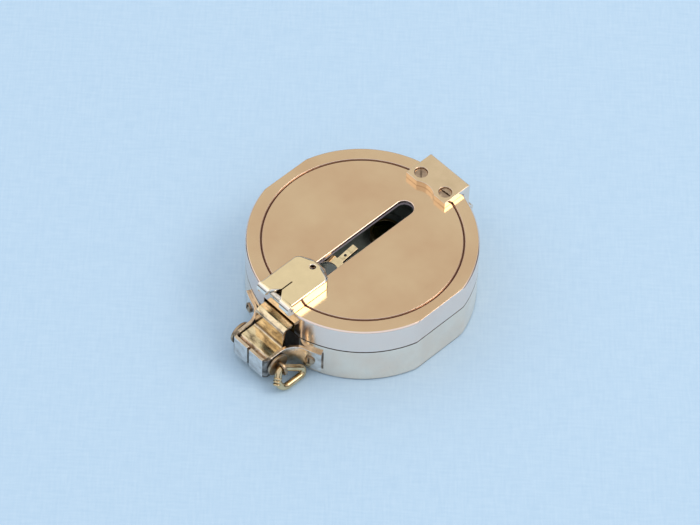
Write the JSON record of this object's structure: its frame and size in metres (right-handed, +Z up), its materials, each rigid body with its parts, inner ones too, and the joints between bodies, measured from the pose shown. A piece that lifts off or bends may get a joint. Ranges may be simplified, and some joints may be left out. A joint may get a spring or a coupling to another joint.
{
  "type": "clinometer compass",
  "caption": "Round brass pocket compass and clinometer with a hinged slotted mirror lid, folding sights and a lanyard ring.",
  "frame": {"origin": "centre of the round case, on the plane of its base", "axes": "+Y along the sight line from the folding arm to the lid's hinge, +Z up through the lid, +X to the side with the lanyard ring"},
  "size_m": [0.073, 0.0926, 0.0301],
  "materials": {
    "case_brass": "polished, lightly mottled",
    "lid_brass": "polished, lightly mottled",
    "pale_brass": "polished",
    "aged_brass": "dulled",
    "ring_brass": "drawn wire, polished",
    "inner_brass": "satin",
    "silvered": "silvered and lacquered",
    "blued_steel": "blued",
    "steel": "turned",
    "mirror": "silvered glass",
    "clear_glass": "clear"
  },
  "bodies": {
    "case": {"case_body": "case_brass", "strap_left": "pale_brass", "strap_right": "pale_brass", "strap_screws": "lid_brass", "sight_pin": "aged_brass", "ring_nut": "aged_brass", "hinge_leaf": "pale_brass", "leaf_screws": "lid_brass", "hinge_pin": "aged_brass", "dial_plate": "silvered", "degree_ring": "silvered", "crystal": "clear_glass", "crystal_ring": "aged_brass", "lifter_bracket": "inner_brass", "lifter_pivot": "steel", "round_level": "inner_brass", "round_glass": "clear_glass"},
    "lid": {"lid_shell": "lid_brass", "mirror_disc": "mirror", "mirror_ring": "aged_brass", "hinge_plate": "pale_brass", "hinge_screws": "lid_brass", "hood_block": "aged_brass"},
    "hood_sight": {"hood": "pale_brass", "hood_pin": "steel"},
    "arm": {"sight_arm": "pale_brass", "sight_glass": "clear_glass"},
    "needle_set": {"needle": "blued_steel", "needle_cap": "inner_brass"},
    "clinometer": {"arbor": "inner_brass", "vernier_arm": "silvered", "vial_holder": "inner_brass", "vial_glass": "clear_glass", "pivot_post": "steel", "back_lever": "inner_brass", "lever_screw": "steel", "friction_washer": "steel"},
    "lift_pin_body": {"lift_pin": "steel"},
    "lifter_body": {"lifter": "inner_brass"},
    "ring": {"lanyard_ring": "ring_brass"}
  },
  "joints": [
    {"name": "lid_hinge", "type": "hinge", "parent": "case", "child": "lid", "pos_m": [0, 0.0402, 0.0147], "axis": [-1, 0, 0], "range_deg": [0, 170]},
    {"name": "hood_hinge", "type": "hinge", "parent": "lid", "child": "hood_sight", "pos_m": [0, -0.0379, 0.0278], "axis": [1, 0, 0], "range_deg": [0, 120]},
    {"name": "arm_hinge", "type": "hinge", "parent": "case", "child": "arm", "pos_m": [0, -0.0456, 0.0074], "axis": [1, 0, 0], "range_deg": [0, 90]},
    {"name": "needle_turn", "type": "hinge", "parent": "clinometer", "child": "needle_set", "pos_m": [0, 0, 0.0109], "axis": [0, 0, 1], "continuous": true},
    {"name": "clinometer_turn", "type": "hinge", "parent": "case", "child": "clinometer", "pos_m": [0, 0, 0.002], "axis": [0, 0, 1], "range_deg": [-90, 90]},
    {"name": "lift_pin_slide", "type": "slide", "parent": "case", "child": "lift_pin_body", "axis": [0, 0, 1], "range_m": [0, 0.0008]},
    {"name": "lifter_rock", "type": "hinge", "parent": "case", "child": "lifter_body", "pos_m": [0.00821, 0.02255, 0.00943], "axis": [0.9397, -0.342, 0], "range_deg": [0, 3.6]},
    {"name": "ring_swing", "type": "hinge", "parent": "case", "child": "ring", "pos_m": [0.01065, -0.0456, 0.0074], "axis": [0, -1, 0], "range_deg": [-4, 100]}
  ],
  "couplings": [
    {"joint": "arm_hinge", "follows": "lid_hinge", "ratio": 0.5294},
    {"joint": "lift_pin_slide", "follows": "lid_hinge", "m_per_rad": 0.000269},
    {"joint": "lifter_rock", "follows": "lid_hinge", "ratio": 0.02117}
  ]
}
